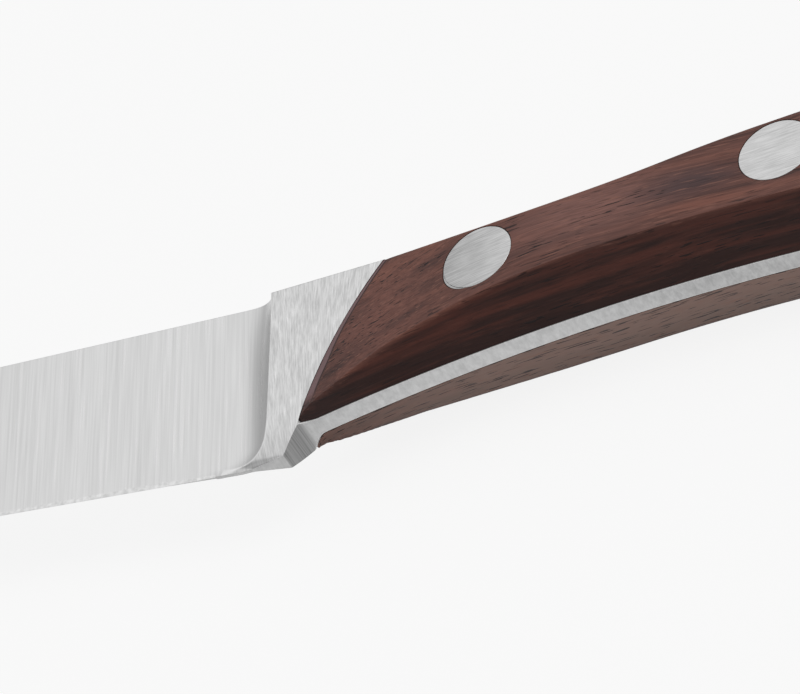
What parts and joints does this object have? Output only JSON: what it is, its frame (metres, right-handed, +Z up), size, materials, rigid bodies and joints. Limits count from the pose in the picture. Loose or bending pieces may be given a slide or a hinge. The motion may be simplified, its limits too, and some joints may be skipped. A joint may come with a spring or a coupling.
{
  "type": "vegetable knife",
  "caption": "Forged vegetable knife: tapered steel blade with a hollow-ground bolster and full tang, and faceted rosewood scales held by flush round rivets.",
  "frame": {"origin": "on the right scale's flat outer face, halfway between the middle and rear rivets, on the row of rivets", "axes": "+X along the row of rivets to the butt, +Y to the spine, +Z up out of the left side; the knife lies on its right side"},
  "size_m": [0.2469, 0.0378, 0.0169],
  "materials": {
    "blade_steel": "satin ground stainless steel, with fine lines across the blade and the bolster",
    "rosewood": "oiled rosewood, smooth, with dark streaks and short open pores",
    "rivet_steel": "steel ground flush with the wood, with lines along the handle"
  },
  "bodies": {
    "root": {"blade": "blade_steel", "left_scale": "rosewood", "right_scale": "rosewood", "front_rivet_socket": "rivet_steel", "front_rivet_pin": "rivet_steel", "middle_rivet_socket": "rivet_steel", "middle_rivet_pin": "rivet_steel", "rear_rivet_socket": "rivet_steel", "rear_rivet_pin": "rivet_steel"}
  },
  "joints": []
}
